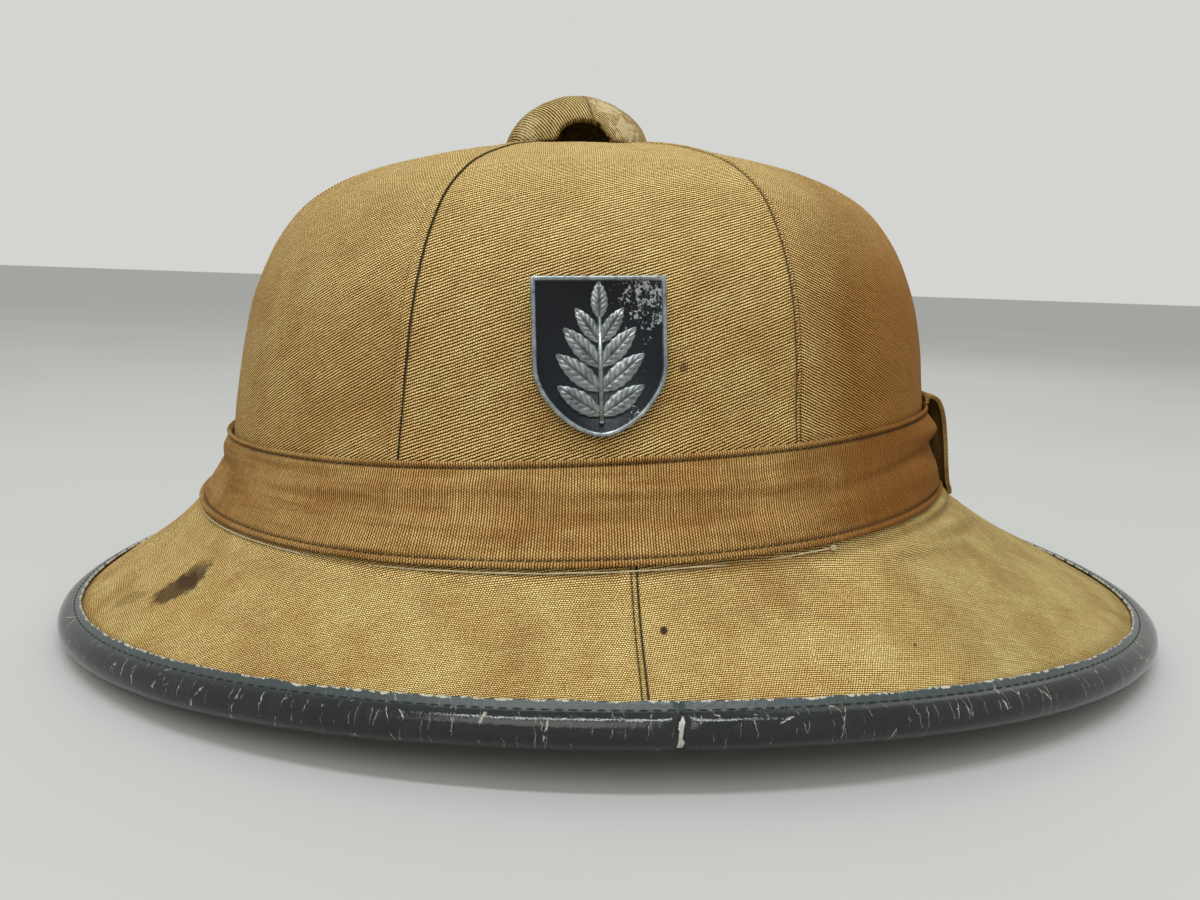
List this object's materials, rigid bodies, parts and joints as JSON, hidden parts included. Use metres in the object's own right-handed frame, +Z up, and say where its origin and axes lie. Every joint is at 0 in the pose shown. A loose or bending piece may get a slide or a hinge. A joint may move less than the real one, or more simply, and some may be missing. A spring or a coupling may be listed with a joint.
{
  "type": "pith helmet",
  "caption": "Sun helmet with a hollow cork shell, canvas-covered crown and wide sloping brim, cloth band, domed air vent, rolled edge binding and a metal shield on its left side",
  "frame": {"origin": "on the resting surface, under the middle of the brim's box", "axes": "+Z up, -Y towards the front of the helmet, +X towards the wearer's left, where the shield is"},
  "size_m": [0.265, 0.35, 0.1619],
  "materials": {
    "cork": "matt pressed cork",
    "crown_canvas": "faded khaki canvas with a visible rib",
    "brim_canvas": "faded khaki canvas, stained",
    "band_canvas": "darker khaki canvas with an upright rib",
    "vent_canvas": "worn khaki canvas with frayed patches",
    "eyelet_metal": "dull grey metal",
    "binding_oilcloth": "dark olive grey oilcloth with a soft gloss and fine pale cracks",
    "badge_metal": "tarnished silver metal with a chipped black field"
  },
  "bodies": {
    "root": {"shell": "cork", "gore_left": "crown_canvas", "gore_rear_left": "crown_canvas", "gore_rear_right": "crown_canvas", "gore_right": "crown_canvas", "gore_front_right": "crown_canvas", "gore_front_left": "crown_canvas", "brim_cover_front": "brim_canvas", "brim_cover_rear": "brim_canvas", "band": "band_canvas", "band_keeper": "band_canvas", "vent_cap": "vent_canvas", "vent_ring": "eyelet_metal", "brim_binding": "binding_oilcloth", "badge": "badge_metal"}
  },
  "joints": []
}
